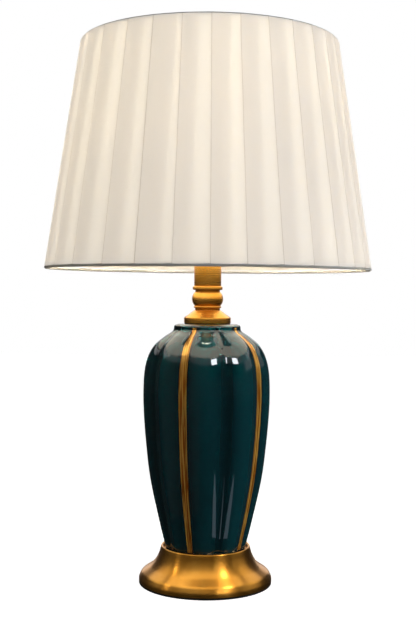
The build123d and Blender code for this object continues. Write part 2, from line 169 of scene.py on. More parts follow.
spunLook = {"colour": "#e6a546", "tarnish": "#d08c30", "rough": 0.29, "roughSwing": 0.015, "lineMm": 0.6,
            "cloudMm": 30, "bump": 0.012, "bumpMm": 0.02, "stretch": 0.93}
spunBrass = makeBrass("spunBrass", spunLook)
turnedLook = dict(spunLook, colour="#e8a94c", tarnish="#d69436", rough=0.28, stretch=0.9, cloudMm=18)
turnedBrass = makeBrass("turnedBrass", turnedLook)


def makeGlaze(look):
    # Dark teal gloss glaze over stoneware: wet shine, tone that drifts at random,
    # painted shade that darkens the glaze towards each crease, bare clay where it misses the foot edge
    material, tree = startMaterial("tealGlaze")
    work = mathIn(tree)
    coords = objectPlace(tree)
    height = addNode(tree, "ShaderNodeSeparateXYZ", {"Vector": coords}).outputs["Z"]
    drift = noiseOn(tree, coords, look["poolMm"], detail=4.0)
    # the crease share is painted shade, darker glaze towards each crease; the random drift adds to it
    crease = addNode(tree, "ShaderNodeAttribute", attribute_name="pool").outputs["Fac"]
    pool = addNode(tree, "ShaderNodeMath", {0: drift, 1: look["driftShare"], 2: crease},
                   operation="MULTIPLY_ADD", use_clamp=True).outputs[0]
    colour = mixColours(tree, pool, look["thin"], look["thick"])
    peel = noiseOn(tree, coords, look["peelMm"], detail=1.0)
    chip = noiseOn(tree, coords, look["chipMm"], detail=4.0)
    reach = remap(tree, chip, (0.55, 0.75), (0.0, look["chipReach"] * mm))
    edge = work("ADD", reach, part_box("ceramic_body")[0][2] + look["foot"] * mm)
    bare = work("LESS_THAN", height, edge)
    endPrincipled(tree, {
        "Base Color": mixColours(tree, bare, colour, look["clay"]),
        "Roughness": remap(tree, bare, (0.0, 1.0), (look["rough"], look["clayRough"])),
        "Normal": bumpOf(tree, peel, strength=0.25, depthMm=0.04), "IOR": look["ior"]})
    return material


# thick: darker glaze, used for the random drift and for the painted shade towards each crease
glazeLook = {"thin": "#0b454d", "thick": "#04262c", "clay": "#c9b489", "poolMm": 45, "driftShare": 0.5,
             "peelMm": 9, "chipMm": 5, "chipReach": 2.2, "foot": 0.1, "rough": 0.035, "clayRough": 0.8,
             "ior": 1.65}
tealGlaze = makeGlaze(glazeLook)


def makeGilt(look):
    # Fired gold lustre laid on by brush: long streaks along each stroke, thinner and redder here and there
    material, tree = startMaterial("giltLustre")
    streak = streaksOn(tree, flatPlace(tree), look["streakMm"], look["strokeMm"], detail=3.0)
    endPrincipled(tree, {
        "Base Color": mixColours(tree, remap(tree, streak, (0.42, 0.58)), look["thin"], look["colour"]),
        "Metallic": look["metal"],
        "Roughness": remap(tree, streak, (0.3, 0.7), (look["rough"] + look["roughSwing"], look["rough"])),
        "Normal": bumpOf(tree, streak, strength=0.3, depthMm=0.12)})
    return material


giltLook = {"colour": "#ffc65c", "thin": "#b4691a", "metal": 0.42, "streakMm": 1.6, "strokeMm": 45,
            "rough": 0.1, "roughSwing": 0.08}
giltLustre = makeGilt(giltLook)


def makeCloth(name, look):
    # Woven cotton voile, pressed in pleats: matt, lets lamp light through, with slubs along the height;
    # the light through each fold edge is dimmer, partly pressed cloth and partly painted shade
    material, tree = startMaterial(name)
    coords = flatPlace(tree)
    slub = streaksOn(tree, coords, look["slubMm"], look["slubLongMm"], detail=2.0)
    bandPeriod = 0.314  # of a wave texture whose scale is 1
    bands = {"Vector": coords, "Scale": bandPeriod / (look["threadMm"] * mm)}
    waves = [addNode(tree, "ShaderNodeTexWave", bands, wave_type="BANDS", bands_direction=way)
             for way in "XY"]
    weave = mathIn(tree)("MULTIPLY", *(wave.outputs["Fac"] for wave in waves))
    body = mixColours(tree, slub, look["slub"], look["colour"])
    bump = bumpOf(tree, weave, strength=0.15, depthMm=0.1)
    press = addNode(tree, "ShaderNodeAttribute", attribute_name="press").outputs["Fac"]
    # pressed colour: light through the fold edges is dimmed, partly pressed cloth and partly painted shade
    glow = mixColours(tree, press, look["glow"], look["pressed"])
    endThinSheet(tree, look["through"], {"Color": body, "Normal": bump}, {"Color": glow, "Normal": bump})
    return material


# pressed: dimmer light colour at the fold edges, partly pressed cloth and partly painted shade
clothLook = {"colour": "#f2f0ec", "slub": "#e9e6e1", "glow": "#fdfcfb", "pressed": "#d9d6d2", "through": 0.84,
             "slubMm": 1.4, "slubLongMm": 60, "threadMm": 0.9}
creamCloth = makeCloth("creamVoile", clothLook)
hemLook = dict(clothLook, colour="#ebe7df", slub="#e0dbd2", through=0.1, slubMm=2.0, slubLongMm=2.0)
hemTape = makeCloth("hemTape", hemLook)


def makeFilm(look):
    # Milky styrene film that backs the pleats: throws most light back and lets the rest glow through
    material, tree = startMaterial("frostedFilm")
    frost = noiseOn(tree, objectPlace(tree), look["frostMm"], detail=3.0)
    body = mixColours(tree, frost, look["colour"], look["shade"])
    endThinSheet(tree, look["through"], {"Color": body}, {"Color": body})
    return material


filmLook = {"colour": "#fcf8f0", "shade": "#f8f3e9", "frostMm": 6, "through": 0.34}
frostedFilm = makeFilm(filmLook)


def makeOpal(name, look):
    # Opal polycarbonate globe, lit from inside
    material, tree = startMaterial(name)
    milk = noiseOn(tree, objectPlace(tree), look["milkMm"])
    endPrincipled(tree, {
        "Base Color": mixColours(tree, milk, look["colour"], look["shade"]), "Roughness": 0.35,
        "Emission Color": linear(look["light"]), "Emission Strength": look["power"]})
    return material


opalLook = {"colour": "#f6f1e6", "shade": "#efe8da", "light": "#fff3dc", "power": 240, "milkMm": 12}
opalGlobe = makeOpal("opalGlobe", opalLook)
opalNeck = makeOpal("opalNeck", dict(opalLook, power=10))


def makePlain(name, look):
    # Moulded, cast or coated stock: one body colour that drifts a little, with a fine grain
    material, tree = startMaterial(name)
    coords = objectPlace(tree)
    drift = noiseOn(tree, coords, look["driftMm"], detail=3.0)
    grain = noiseOn(tree, coords, look["grainMm"])
    swing = 0.06  # of the roughness, with the grain
    endPrincipled(tree, {
        "Base Color": mixColours(tree, drift, look["colour"], look["shade"]), "Metallic": look["metal"],
        "Roughness": remap(tree, grain, (0.0, 1.0), (look["rough"] - swing, look["rough"] + swing)),
        "Normal": bumpOf(tree, grain, look["bump"], depthMm=0.1)})
    return material


stockKeys = ("colour", "shade", "rough", "metal", "driftMm", "grainMm", "bump")
stock = {
    "mouldedRubber": ("#0b0b0b", "#060606", 0.85, 0.0, 8, 0.8, 0.3),
    "mouldedPhenolic": ("#211d1a", "#171412", 0.35, 0.0, 10, 0.6, 0.15),
    "mouldedPolycarbonate": ("#eeece6", "#e4e1d9", 0.3, 0.0, 14, 0.6, 0.1),
    "castIron": ("#3a3937", "#2a2927", 0.7, 0.7, 6, 1.2, 0.5),
    "zincPlatedSteel": ("#c3c1ba", "#aaa79f", 0.32, 1.0, 5, 0.5, 0.1),
    "steatitePorcelain": ("#ece8de", "#e0dacd", 0.4, 0.0, 9, 0.7, 0.1),
    "coatedAluminium": ("#e6e5e0", "#dad8d2", 0.4, 0.2, 8, 0.5, 0.1),
    "whitePowderCoat": ("#ece9e2", "#e0dcd3", 0.45, 0.0, 12, 0.5, 0.25),
}
stockMaterials = {name: makePlain(name, dict(zip(stockKeys, row))) for name, row in stock.items()}
print("materials made")


# shared mesh helpers


def smoothLine(points, steps):
    # A Catmull-Rom curve through the points, with the given steps between each two
    before, after = [tuple(2 * a - b for a, b in zip(near, far))
                     for near, far in ((points[0], points[1]), (points[-1], points[-2]))]
    run = [before] + list(points) + [after]
    line = []
    for i in range(1, len(run) - 2):
        p = [Vector(run[i + k]) for k in (-1, 0, 1, 2)]
        gap = [max((p[k + 1] - p[k]).length, 1e-6) ** 0.5 for k in range(3)]
        for s in range(steps):
            t = s / steps * gap[1]
            a1 = p[0] + (p[1] - p[0]) * ((t + gap[0]) / gap[0])
            a2 = p[1] + (p[2] - p[1]) * (t / gap[1])
            a3 = p[2] + (p[3] - p[2]) * ((t - gap[1]) / gap[2])
            b1 = a1 + (a2 - a1) * ((t + gap[0]) / (gap[0] + gap[1]))
            b2 = a2 + (a3 - a2) * (t / (gap[1] + gap[2]))
            line.append(tuple(b1 + (b2 - b1) * (t / gap[1])))
    return line + [tuple(points[-1])]


def arcLine(centre, radius, start, end, steps):
    turns = [math.radians(start + (end - start) * i / steps) for i in range(steps + 1)]
    return [(centre[0] + radius * math.cos(turn), centre[1] + radius * math.sin(turn)) for turn in turns]


def linked(name, data):
    piece = bpy.data.objects.new(name, data)
    scene.collection.objects.link(piece)
    return piece


def discard(piece):
    mesh = piece.data
    bpy.data.objects.remove(piece)
    bpy.data.meshes.remove(mesh)


def gridObject(name, rings, loopColumns, loopRows, uvs=None):
    # A mesh from rows of points in millimetres; rows or columns may close on themselves
    mesh = bpy.data.meshes.new(name)
    rowCount, columnCount = len(rings), len(rings[0])
    points = [Vector(p) * mm for ring in rings for p in ring]
    faces = []
    for r in range(rowCount if loopRows else rowCount - 1):
        for c in range(columnCount if loopColumns else columnCount - 1):
            a, b = r * columnCount, (r + 1) % rowCount * columnCount
            d = (c + 1) % columnCount
            faces.append((a + c, a + d, b + d, b + c))
    mesh.from_pydata(points, [], faces)
    if uvs:
        layer = mesh.uv_layers.new(name="UVMap")
        flat = [uv for ring in uvs for uv in ring]
        for loop in mesh.loops:
            layer.data[loop.index].uv = flat[loop.vertex_index]
    mesh.update()
    return linked(name, mesh)


def joinPieces(name, parts):
    whole = bmesh.new()
    for part in parts:
        whole.from_mesh(part.data)
    mesh = bpy.data.meshes.new(name)
    whole.to_mesh(mesh)
    whole.free()
    for part in parts:
        discard(part)
    return linked(name, mesh)


def around(radius, degrees, height):
    # Angles count from the front, towards the right
    a = math.radians(degrees)
    return (radius * math.sin(a), -radius * math.cos(a), height)


sharpAngle = math.radians(35)  # steeper edges are bevelled or stay sharp


def turnedPiece(name, outline, material, columns, edgeMm=0):
    # Turns a closed outline of (radius, height), listed anticlockwise, and breaks its edges
    rings = [[around(r, 360 * c / columns, z) for c in range(columns)] for r, z in outline]
    piece = gridObject(name, rings, True, True)
    if edgeMm:
        bevel = piece.modifiers.new("edge", "BEVEL")
        bevel.width, bevel.segments = edgeMm * mm, 2
        bevel.limit_method, bevel.angle_limit = "ANGLE", sharpAngle
    return settle(piece, material)


def settle(piece, material):
    # Turns a piece with modifiers into a plain smooth mesh with one material
    bpy.context.view_layer.update()
    evaluated = piece.evaluated_get(bpy.context.evaluated_depsgraph_get())
    mesh = bpy.data.meshes.new_from_object(evaluated)
    piece.modifiers.clear()
    piece.data = mesh
    mesh.name = piece.name
    mesh.materials.clear()
    mesh.materials.append(material)
    mesh.polygons.foreach_set("use_smooth", [True] * len(mesh.polygons))
    mesh.set_sharp_from_angle(angle=sharpAngle)
    return piece


def startTree(name, numbers, objects=()):
    # A geometry node tree with named inputs for a mesh, other objects, numbers and a material
    tree = bpy.data.node_groups.new(name, "GeometryNodeTree")
    kinds = [("Geometry", "Geometry")] + [(label, "Object") for label in objects]
    kinds += [(label, "Float") for label in numbers] + [("Material", "Material")]
    for label, kind in kinds:
        tree.interface.new_socket(label, in_out="INPUT", socket_type="NodeSocket" + kind)
    tree.interface.new_socket("Geometry", in_out="OUTPUT", socket_type="NodeSocketGeometry")
    return tree, addNode(tree, "NodeGroupInput").outputs


def endTree(tree, geometry, material):
    real = addNode(tree, "GeometryNodeRealizeInstances", {"Geometry": geometry}).outputs[0]
    dressed = addNode(tree, "GeometryNodeSetMaterial", {"Geometry": real, "Material": material}).outputs[0]
    addNode(tree, "NodeGroupOutput", {"Geometry": dressed})


def setInputs(modifier, values):
    # Sets a node tree's named inputs
    for item in modifier.node_group.interface.items_tree:
        if item.in_out == "INPUT" and item.name in values:
            modifier[item.identifier] = values[item.name]


def span(node):
    # Lowest and highest point of a CAD node, in millimetres
    low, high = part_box(node)
    return low[2] / mm, high[2] / mm


def place(piece, body, slot, *replaced):
    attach(piece, body)
    if replaced:
        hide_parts(*replaced)


# lobed ceramic body with gilt creases

vaseBottom, vaseTop = span("ceramic_body")
# throat: wider by, below the lip; hollow: radius, height above the foot
vase = {"belly": 69.45, "lobes": 10, "turn": -19.5, "drift": 3.4, "groove": 5.0, "valley": 3.2, "columns": 20,
        "crowd": 0.8, "mouth": 20.0, "lipDepth": 8, "throat": (4, 12), "hollow": (30, 60), "footHole": 7.0,
        "floor": 7, "gilt": 5, "giltWidth": 7.6, "giltTop": 3.2, "giltProud": 0.16, "giltWander": 0.05,
        "giltWanderMm": 14, "giltApart": (7.3, 3.1), "giltGap": 0.05}
# crest radius by the belly's, with its height above the foot, and then with its depth below the lip
crestRise = [(0.63, 0.0), (0.646, 4.2), (0.741, 30.5), (0.898, 82.0)]
crestDrop = [(1.0, 75.0), (0.957, 40.3), (0.838, 23.2), (0.671, 13.4), (0.537, 6.8), (0.52, 1.8),
             (0.461, 0.0)]
vaseWall = smoothLine([(share * vase["belly"], vaseBottom + rise) for share, rise in crestRise]
                      + [(share * vase["belly"], vaseTop - drop) for share, drop in crestDrop], steps=12)


def lobeTree():
    # Presses creases into a turned shape: each lobe is an arc,
    # and neighbours melt together in a rounded crease
    tree, given = startTree("pressLobes", ["Lobes", "Turn", "Drift", "Groove", "Valley", "Belly"])
    work = mathIn(tree)
    spot = addNode(tree, "GeometryNodeInputPosition").outputs[0]
    axes = addNode(tree, "ShaderNodeSeparateXYZ", {0: spot}).outputs
    crest = axisDistance(tree, spot)
    angle = work("ARCTAN2", axes["X"], work("MULTIPLY", axes["Y"], -1.0))
    sway = work("SINE", work("MULTIPLY", angle, 2.0))
    even = work("SUBTRACT", angle, work("MULTIPLY", sway, work("RADIANS", given["Drift"])))
    fromStart = work("SUBTRACT", even, work("RADIANS", given["Turn"]))
    pitch = work("DIVIDE", 2 * math.pi, given["Lobes"])
    half = work("MULTIPLY", pitch, 0.5)
    offCrest = work("SUBTRACT", work("FLOORED_MODULO", fromStart, pitch), half)
    fade = work("POWER", work("DIVIDE", crest, given["Belly"]), 2.0)
    crease = work("SUBTRACT", crest, work("MULTIPLY", fade, given["Groove"]))
    chord = work("MULTIPLY", crease, work("SINE", half))
    rise = work("SUBTRACT", crest, work("MULTIPLY", crease, work("COSINE", half)))
    squares = work("MULTIPLY_ADD", rise, rise, work("MULTIPLY", chord, chord))
    lobe = work("DIVIDE", work("MULTIPLY", squares, 0.5), rise)
    centre = work("SUBTRACT", crest, lobe)
    offNow = work("ABSOLUTE", offCrest)
    arcs = []
    for off in (offNow, work("SUBTRACT", pitch, offNow)):
        near = work("MULTIPLY", centre, work("COSINE", off))
        side = work("MULTIPLY", centre, work("SINE", off))
        left = work("SUBTRACT", work("MULTIPLY", lobe, lobe), work("MULTIPLY", side, side))
        arcs.append(work("ADD", near, work("SQRT", left)))
    pressed = work("SMOOTH_MAX", *arcs, work("MULTIPLY", fade, given["Valley"]))
    scale = work("DIVIDE", pressed, crest)
    grow = addNode(tree, "ShaderNodeCombineXYZ", {"X": scale, "Y": scale, "Z": 1.0}).outputs[0]
    moved = addNode(tree, "ShaderNodeVectorMath", {0: spot, 1: grow}, operation="MULTIPLY").outputs[0]
    # painted shade: a share rising from 0 at the crest to 1 at each crease, which darkens the glaze there
    pool = work("POWER", work("DIVIDE", offNow, half), 2.0)
    glazed = addNode(tree, "GeometryNodeStoreNamedAttribute",
                     {"Geometry": given["Geometry"], "Name": "pool", "Value": pool},
                     data_type="FLOAT", domain="POINT").outputs[0]
    shaped = addNode(tree, "GeometryNodeSetPosition", {"Geometry": glazed, "Position": moved}).outputs[0]
    endTree(tree, shaped, given["Material"])
    return tree


def pressLobes(piece, tree, material):
    modifier = piece.modifiers.new("lobes", "NODES")
    modifier.node_group = tree
    values = {"Lobes": vase["lobes"], "Turn": vase["turn"], "Drift": vase["drift"],
              "Groove": vase["groove"] * mm, "Valley": vase["valley"] * mm, "Belly": vase["belly"] * mm}
    setInputs(modifier, dict({name: float(value) for name, value in values.items()}, Material=material))
    return settle(piece, material)


def drifted(even):
    # Where an evenly spaced angle lies on the hand-pressed body, whose lobes are wider at front and back
    angle = even
    for attempt in range(4):  # the drift reads the angle that it moves, so it is worked out in a few rounds
        angle = even + vase["drift"] * math.sin(math.radians(2 * angle))
    return angle


def makeVase():
    mouth, hole = vase["mouth"], vase["footHole"]
    outline = [(hole, vaseBottom)] + vaseWall + [
        (mouth, vaseTop), (mouth, vaseTop - vase["lipDepth"]),
        (mouth + vase["throat"][0], vaseTop - vase["throat"][1]),
        (vase["hollow"][0], vaseBottom + vase["hollow"][1]), (hole, vaseBottom + vase["floor"])]
    columns = []
    for lobe in range(vase["lobes"]):
        for c in range(vase["columns"]):
            # columns stand closer towards the creases
            u = c / vase["columns"]
            crowded = u - vase["crowd"] * math.sin(2 * math.pi * u) / (2 * math.pi)
            columns.append(vase["turn"] + 360 / vase["lobes"] * (lobe + crowded))
    rings = [[around(r, drifted(a), z) for a in columns] for r, z in outline]
    body = gridObject("ceramicBody", rings, True, True)
    tree = lobeTree()
    pressLobes(body, tree, tealGlaze)
    place(body, "stand", "teal_glaze", "ceramic_body")

    # gilt strokes in every other crease; the noise is read far apart for each stroke and side
    across = [-1, -0.75, -0.5, -0.25, -0.1, 0, 0.1, 0.25, 0.5, 0.75, 1]
    rows = [(r, z) for r, z in vaseWall if z < vaseTop - vase["giltTop"]]
    strokeApart, sideApart = vase["giltApart"]
    strips = []
    for stroke in range(vase["gilt"]):
        middle = drifted(vase["turn"] + 360 / vase["gilt"] * stroke)
        ring, ringUv = [], []
        for r, z in rows:
            wander = [noise.noise((z / vase["giltWanderMm"], stroke * strokeApart, side * sideApart))
                      for side in (-1, 1)]
            wide = [vase["giltWidth"] / 2 * (1 + vase["giltWander"] * w) for w in wander]
            ring.append([around(r + vase["giltProud"], middle + s * wide[s > 0], z) for s in across])
            ringUv.append([(s * wide[s > 0] * r * math.pi / 180 * mm + stroke * vase["giltGap"], z * mm)
                           for s in across])
        strips.append(gridObject(f"giltStroke{stroke}", ring, False, False, ringUv))
    joined = joinPieces("giltStrokes", strips)
    pressLobes(joined, tree, giltLustre)
    place(joined, "stand", "brass")
    print("ceramic body", len(body.data.polygons), "faces, gilt", len(joined.data.polygons))


makeVase()


# brass base, cap and neck

base = {"radius": 71.2, "padBore": 20.0, "padRound": 0.5, "band": 4.0, "bandStep": 1, "rimRadius": 47.95,
        "rimBelowBody": 1.3, "rimThick": 2.6, "cupDepth": 3.2, "floor": 2.2, "floorStep": 1, "wall": 1.8,
        "innerDrop": 1.5, "bore": 5.2,
        "flare": [(70.95, 4.9), (69.9, 7.2), (68.9, 9.0), (67.6, 10.4), (65.4, 11.9), (62.0, 14.1),
                  (58.4, 16.7), (54.9, 20.4), (52.1, 24.6), (49.6, 30.4)]}  # radius, height above the pad


def makeBase():
    foot = span("base_shell")[0]
    edge, bore, wall = base["radius"], base["bore"], base["wall"]
    rimTop = span("ceramic_body")[0] - base["rimBelowBody"]
    ogee = smoothLine([(edge, foot + base["band"])] + [(r, foot + z) for r, z in base["flare"]]
                      + [(base["rimRadius"], rimTop)], steps=12)
    half = base["rimThick"] / 2
    rim = arcLine((base["rimRadius"] - half, rimTop), half, 0, 180, steps=8)[1:]
    cup = base["rimRadius"] - base["rimThick"]
    under = rimTop - base["cupDepth"] - base["floor"]
    inner = [(cup, under + base["floor"]), (bore, under + base["floor"]), (bore, under),
             (cup - base["floorStep"], under)]
    inner += [(r - wall, foot + z - base["innerDrop"]) for r, z in reversed(base["flare"][2:9])]
    inner += [(edge - wall, foot + base["band"] - base["bandStep"]), (edge - wall, foot)]
    outline = [(edge, foot)] + ogee + rim + inner
    shell = turnedPiece("brassBase", outline, spunBrass, columns=192, edgeMm=0.35)
    place(shell, "stand", "brass", "base_shell")
    low, high = span("foot_pad")
    outline = [(base["padBore"], low), (edge - base["padRound"], low), (edge, low + base["padRound"]),
               (edge, high), (base["padBore"], high)]
    pad = turnedPiece("footPad", outline, stockMaterials["mouldedRubber"], columns=160, edgeMm=0.2)
    place(pad, "stand", "black_rubber", "foot_pad")


# ledge and cone of the cap: radius, height above its washer
neck = {"bore": 5.2, "capRadius": 25.4, "capFoot": 0.6, "capBand": 6.7, "capSoft": 0.8,
        "capLedge": (22.0, 8.3), "capCone": (20.8, 9.2), "capTop": 14.4, "ringNeck": 13.6, "ringBead": 15.0,
        "beadHeight": 2.4, "ball": 16.9, "ballEnd": 14.0, "grooveRadius": 13.4, "groove": 2.1, "collar": 16.2,
        "collarRound": 1.1, "tube": 14.7, "tubeBore": 13.3, "tubePlay": 0.25}


def makeNeck():
    bore = neck["bore"]
    top = span("vase_cap")[1]
    foot = span("cap_washer")[1]
    edge, soft, band = neck["capRadius"], neck["capSoft"], foot + neck["capBand"]
    outline = [(bore, foot), (edge - neck["capFoot"], foot), (edge, foot + neck["capFoot"]),
               (edge, band - soft), (edge - soft, band)]
    outline += [(radius, foot + rise) for radius, rise in (neck["capLedge"], neck["capCone"])]
    outline += [(neck["capTop"], top), (bore, top)]
    cap = turnedPiece("brassCap", outline, turnedBrass, columns=160, edgeMm=0.3)
    place(cap, "stand", "brass", "vase_cap")
    low, high = span("neck_ring")
    bead = neck["beadHeight"] / 2
    outline = [(bore, low), (neck["ringNeck"], low), (neck["ringNeck"], high - 2 * bead)]
    outline += arcLine((neck["ringBead"] - bead, high - bead), bead, -90, 90, steps=8) + [(bore, high)]
    ring = turnedPiece("neckRing", outline, turnedBrass, columns=128, edgeMm=0.15)
    place(ring, "stand", "brass", "neck_ring")
    low, high = span("neck_ball")
    rise, reach = (high - low) / 2, neck["ball"] - neck["ballEnd"]
    bow = (rise ** 2 + reach ** 2) / (2 * reach)  # radius of the ball's side arc
    tilt = math.degrees(math.asin(rise / bow))
    side = arcLine((neck["ball"] - bow, low + rise), bow, -tilt, tilt, steps=20)
    outline = [(bore, low)] + side + [(bore, high)]
    ball = turnedPiece("neckBall", outline, turnedBrass, columns=160, edgeMm=0.2)
    place(ball, "stand", "brass", "neck_ball")
    low, high = span("neck_collar")
    shoulder = span("neck_tube")[0]
    soft, spigot = neck["collarRound"], neck["tubeBore"] - neck["tubePlay"]
    outline = [(bore, low), (neck["grooveRadius"], low), (neck["grooveRadius"], low + neck["groove"])]
    outline += arcLine((neck["collar"] - soft, low + neck["groove"] + soft), soft, -90, 0, steps=5)
    outline += arcLine((neck["collar"] - soft, shoulder - soft), soft, 0, 90, steps=5)
    outline += [(spigot, shoulder), (spigot, high), (bore, high)]
    collar = turnedPiece("neckCollar", outline, turnedBrass, columns=128, edgeMm=0.15)
    place(collar, "stand", "brass", "neck_collar")
    low, high = span("neck_tube")
    outline = [(neck["tubeBore"], low), (neck["tube"], low), (neck["tube"], high), (neck["tubeBore"], high)]
    tube = turnedPiece("neckTube", outline, turnedBrass, columns=128, edgeMm=0.25)
    place(tube, "stand", "brass", "neck_tube")


makeBase()
makeNeck()
print("brass turned")


# pleated shade

# intoHem: how far the cloth runs into the lower and upper hem; wideTucks: deeper tucks, by fold;
# liner: depth of its outer and inner face under the cone
shade = {"bottom": span("bottom_hem")[0], "top": span("top_hem")[1], "bottomRadius": 175.0,
         "topRadius": 138.5, "inset": 0.15, "intoHem": (1.2, 2.3), "count": 31, "foldSpread": 0.5,
         "tuck": 16.6, "tuckSpread": 1.0, "wideTucks": {0: 19.5, 1: 19.5, 2: 19.5, 3: 24.0}, "plyGap": 0.2,
         "slope": 0.12, "rows": 44, "wander": 0.12, "wanderMm": 60, "wanderApart": 5.7, "wanderSlice": 0.5,
         "lift": 0.12, "liftMm": 45, "liftWaves": 5.0, "sewMm": 0.002, "liner": (2.75, 3.55),
         "linerDrop": 3.7, "seed": 5}
# fold edges seen from the front, in degrees
frontFolds = [-61.7, -48.9, -35.1, -23.1, -10.9, 0.7, 12.1, 23.9, 35.2, 46.5, 56.6, 66.7]


def foldAngles():
    rest = shade["count"] - len(frontFolds)
    gap = (360 + frontFolds[0] - frontFolds[-1]) / (rest + 1)
    jitter, spread = random.Random(shade["seed"]), shade["foldSpread"]
    hidden = [frontFolds[-1] + gap * (i + 1) + jitter.uniform(-spread, spread) for i in range(rest)]
    return frontFolds + hidden


def shadeRadius(height):
    share = (height - shade["bottom"]) / (shade["top"] - shade["bottom"])
    return shade["bottomRadius"] + (shade["topRadius"] - shade["bottomRadius"]) * share


def setNumbers(piece, label, values):
    piece.data.attributes.new(label, "FLOAT", "POINT").data.foreach_set("value", [float(v) for v in values])


def flatPleat(low, high):
    # One pleat as a flat pattern: x runs over the covered part and then the open part, y is plies in,
    # z is height, and "tucked" runs under the next fold
    slope = shade["slope"]
    path = [(x, 0.0, slope * x) for x in (0.0, 0.04, 0.25, 0.5, 0.75, 1.0)]
    for i in range(1, 9):
        t = i / 8
        path.append((1 + t, 0.0, slope + (2 - slope) * t * t * (3 - 2 * t)))
    turn = (2.0, 1.012, 1.5)
    path += [(2.0, s, 2.0) for s in (0.25, 0.5, 0.75, 0.97)]
    path += [(2.0, 1.0, 1.8), turn, (2.0, 1.0, 1.2)]
    path += [(2.0, s, 1.0) for s in (0.97, 0.75, 0.5, 0.25)]
    path += [(2.0, 0.015, 0.85), (2.0, -0.008, 0.5), (2.0, 0.0, 0.0)]
    heights = [low + (high - low) * row / shade["rows"] for row in range(shade["rows"] + 1)]
    rings = [[(x / mm, plies / mm, z) for x, tucked, plies in path] for z in heights]
    pleat = gridObject("flatPleat", rings, False, False)
    bend = path.index(turn)
    cut = [abs(tucked) if i <= bend else 2.0 - abs(tucked) for i, (x, tucked, plies) in enumerate(path)]
    # fold edges get the mark that dims the light through them: partly pressed cloth, partly painted shade
    press = [1.0 if x == 0 or tucked < 0 or plies == 0 else 0.0 for x, tucked, plies in path]
    for label, column in (("tucked", [tucked for x, tucked, plies in path]), ("cut", cut), ("press", press)):
        setNumbers(pleat, label, column * len(heights))
    return pleat


def pleatTree():
    # Lays one flat pleat at every fold of a cone: angle from the fold, the tucks and the pitch,
    # radius from the height and the plies
    numbers = ["Bottom", "Bottom Radius", "Taper", "Ply Gap", "Wander", "Lift"]
    tree, given = startTree("layPleats", numbers, objects=["Pleat"])
    work = mathIn(tree)

    def carried(label):
        return addNode(tree, "GeometryNodeInputNamedAttribute", {"Name": label}, data_type="FLOAT").outputs[0]

    def wavy(across, down, row, reach):
        # Smooth noise between minus and plus the reach
        vector = addNode(tree, "ShaderNodeCombineXYZ", {"X": across, "Y": down, "Z": row}).outputs[0]
        sockets = {"Vector": vector, "Scale": 1.0, "Detail": 0.0}
        value = addNode(tree, "ShaderNodeTexNoise", sockets).outputs[0]
        return work("MULTIPLY", work("MULTIPLY_ADD", value, 2.0, -1.0), reach)

    flat = addNode(tree, "GeometryNodeObjectInfo", {"Object": given["Pleat"]}).outputs["Geometry"]
    laid = addNode(tree, "GeometryNodeInstanceOnPoints",
                   {"Points": given["Geometry"], "Instance": flat}).outputs[0]
    loose = addNode(tree, "GeometryNodeRealizeInstances", {"Geometry": laid}).outputs[0]
    flatSpot = addNode(tree, "GeometryNodeInputPosition").outputs[0]
    flatAxes = addNode(tree, "ShaderNodeSeparateXYZ", {0: flatSpot}).outputs
    height = flatAxes["Z"]
    cover = work("MINIMUM", flatAxes["X"], 1.0)
    opened = work("MAXIMUM", work("SUBTRACT", flatAxes["X"], 1.0), 0.0)
    above = work("SUBTRACT", height, given["Bottom"])
    coneRadius = work("MULTIPLY_ADD", above, given["Taper"], given["Bottom Radius"])
    ownTuck = work("DIVIDE", carried("ownTuck"), coneRadius)
    nextTuck = work("DIVIDE", carried("nextTuck"), coneRadius)
    sway = work("DIVIDE", height, shade["wanderMm"] * mm)
    lips = []  # two pleats that share a fold read the same row of noise, so they stay joined
    for lip, number in (("lip", "ownNumber"), ("nextLip", "nextNumber")):
        row = work("MULTIPLY", carried(number), shade["wanderApart"])
        lipSway = wavy(sway, row, shade["wanderSlice"], given["Wander"])
        lips.append(work("RADIANS", work("ADD", carried(lip), lipSway)))
    opening = work("SUBTRACT", work("SUBTRACT", lips[1], lips[0]), ownTuck)
    angle = work("MULTIPLY_ADD", ownTuck, cover, lips[0])
    angle = work("MULTIPLY_ADD", opening, opened, angle)
    angle = work("MULTIPLY_ADD", nextTuck, carried("tucked"), angle)
    inner = work("MULTIPLY_ADD", flatAxes["Y"], work("MULTIPLY", given["Ply Gap"], -1.0), coneRadius)
    across, ahead = work("SINE", angle), work("MULTIPLY", work("COSINE", angle), -1.0)
    waves = [work("MULTIPLY", way, shade["liftWaves"]) for way in (across, ahead)]
    lift = wavy(*waves, work("DIVIDE", height, shade["liftMm"] * mm), given["Lift"])
    radius = work("ADD", inner, lift)
    spot = addNode(tree, "ShaderNodeCombineXYZ", {
        "X": work("MULTIPLY", across, radius), "Y": work("MULTIPLY", ahead, radius), "Z": height}).outputs[0]
    run = work("MULTIPLY_ADD", carried("cut"), carried("nextTuck"), carried("run"))
    gone = work("ADD", work("MULTIPLY", ownTuck, cover), work("MULTIPLY", opening, opened))
    run = work("MULTIPLY_ADD", gone, coneRadius, run)
    thread = addNode(tree, "ShaderNodeCombineXYZ", {"X": run, "Y": height}).outputs[0]
    woven = addNode(tree, "GeometryNodeStoreNamedAttribute",
                    {"Geometry": loose, "Name": "UVMap", "Value": thread},
                    data_type="FLOAT2", domain="CORNER").outputs[0]
    wrapped = addNode(tree, "GeometryNodeSetPosition", {"Geometry": woven, "Position": spot}).outputs[0]
    sewn = addNode(tree, "GeometryNodeMergeByDistance",
                   {"Geometry": wrapped, "Distance": shade["sewMm"] * mm}).outputs[0]
    endTree(tree, sewn, given["Material"])
    return tree


